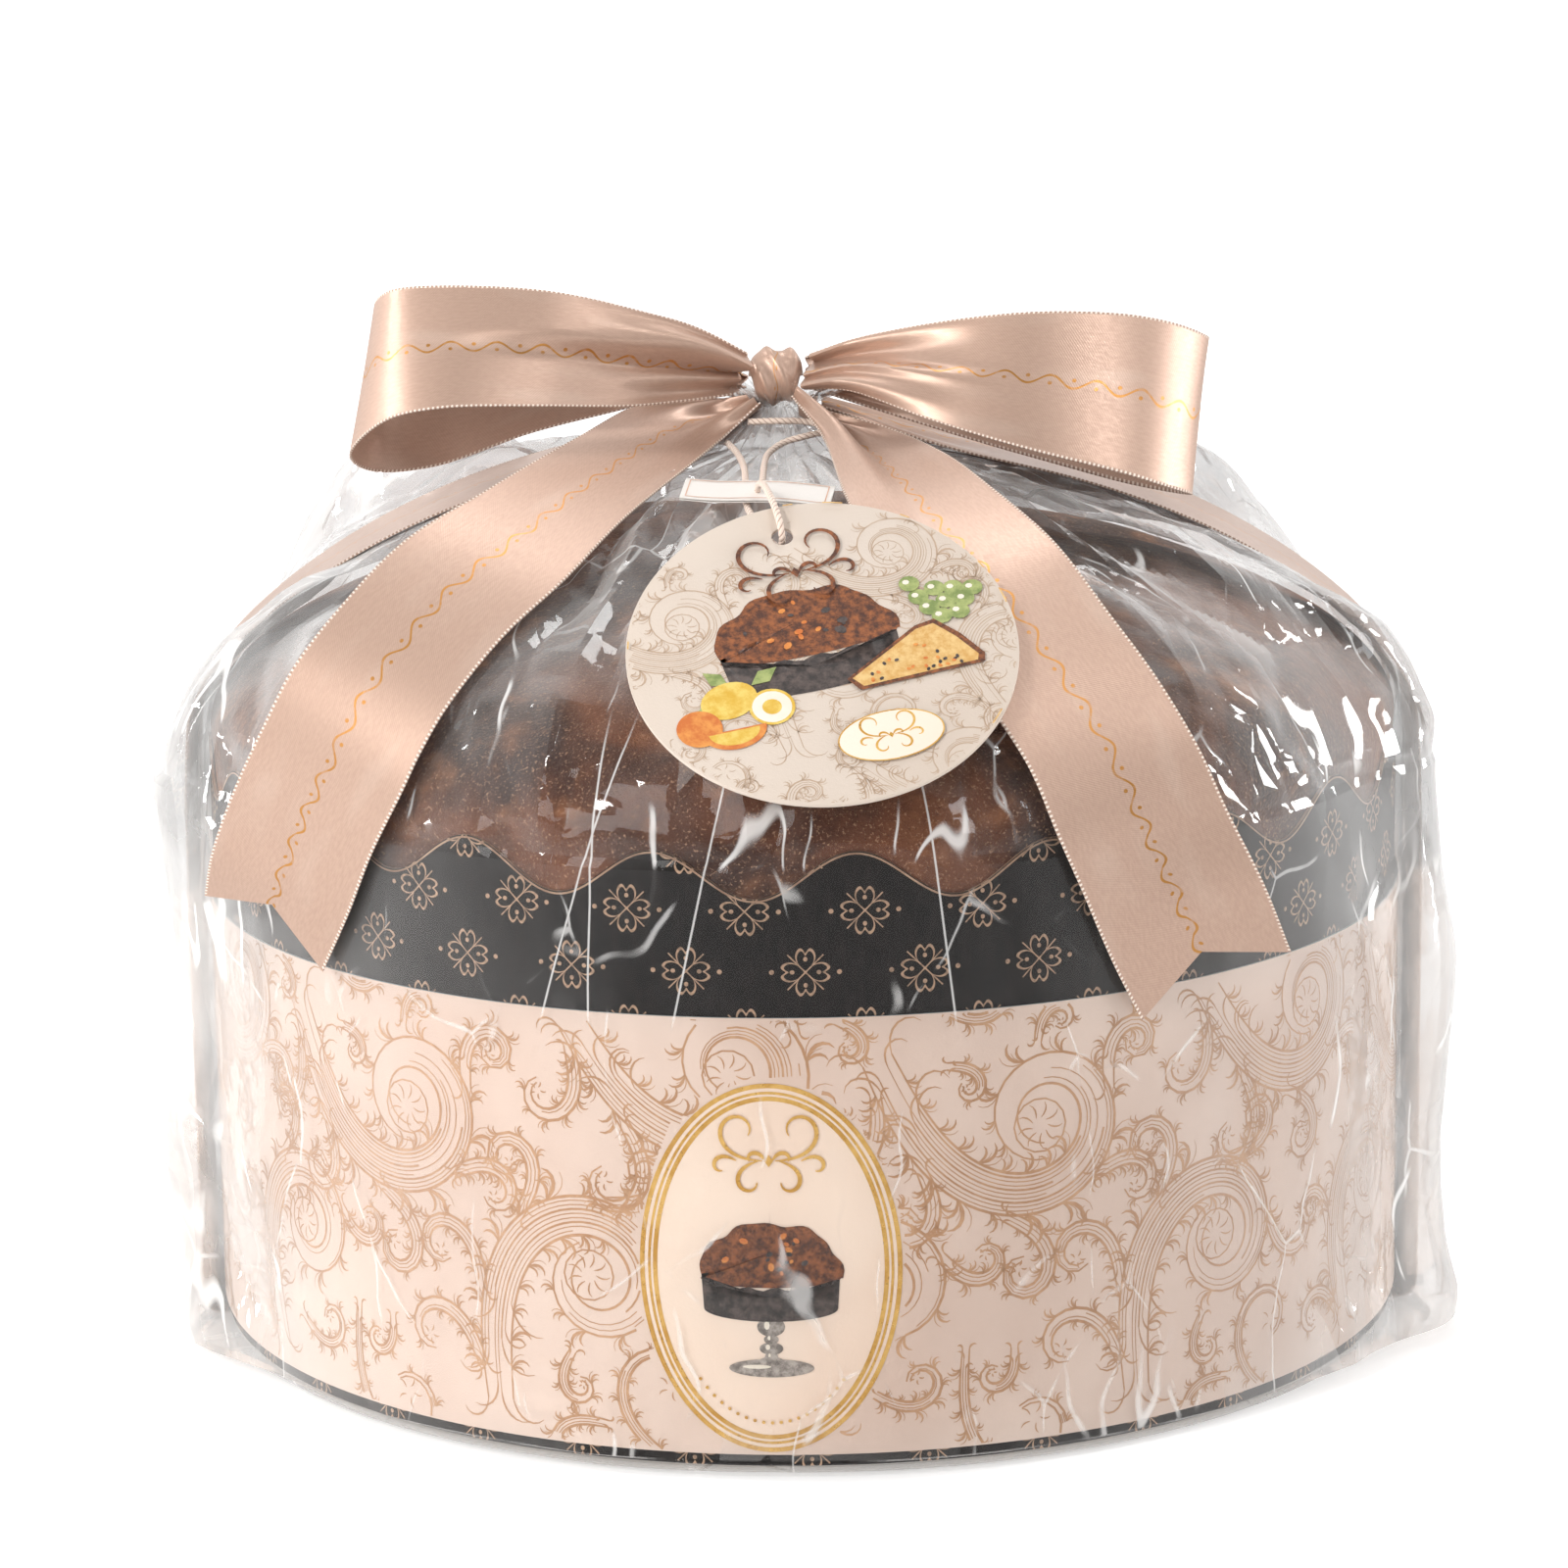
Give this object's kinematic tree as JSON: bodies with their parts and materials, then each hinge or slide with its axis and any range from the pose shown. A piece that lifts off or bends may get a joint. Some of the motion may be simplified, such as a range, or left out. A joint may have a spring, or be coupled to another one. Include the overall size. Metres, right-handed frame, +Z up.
{
  "type": "gift-wrapped panettone",
  "caption": "Large domed sweet loaf in a paper baking mould and card sleeve, wrapped in clear film and tied with a satin ribbon bow and a round tag",
  "frame": {"origin": "middle of the underside, on the surface that the wrapped loaf stands on", "axes": "+Z up, +X to the right seen from the front, -Y to the front, where the round tag lies"},
  "size_m": [0.292, 0.3037, 0.2468],
  "materials": {
    "crust": "matte",
    "mould_paper": "matte",
    "base_board": "matte",
    "printed_card": "satin",
    "clear_film": "gloss",
    "satin_ribbon": "satin",
    "tag_card": "satin",
    "label_paper": "matte",
    "cotton_string": "matte"
  },
  "bodies": {
    "root": {"loaf": "crust", "mould_wall": "mould_paper", "mould_base": "base_board", "paper_band": "printed_card", "film_wrap": "clear_film", "ribbon_strap": "satin_ribbon", "bow_knot": "satin_ribbon", "bow_loop_left": "satin_ribbon", "bow_loop_right": "satin_ribbon", "ribbon_tail_left": "satin_ribbon", "ribbon_tail_right": "satin_ribbon", "hang_tag": "tag_card", "strip_label": "label_paper", "tag_string": "cotton_string"}
  },
  "joints": []
}
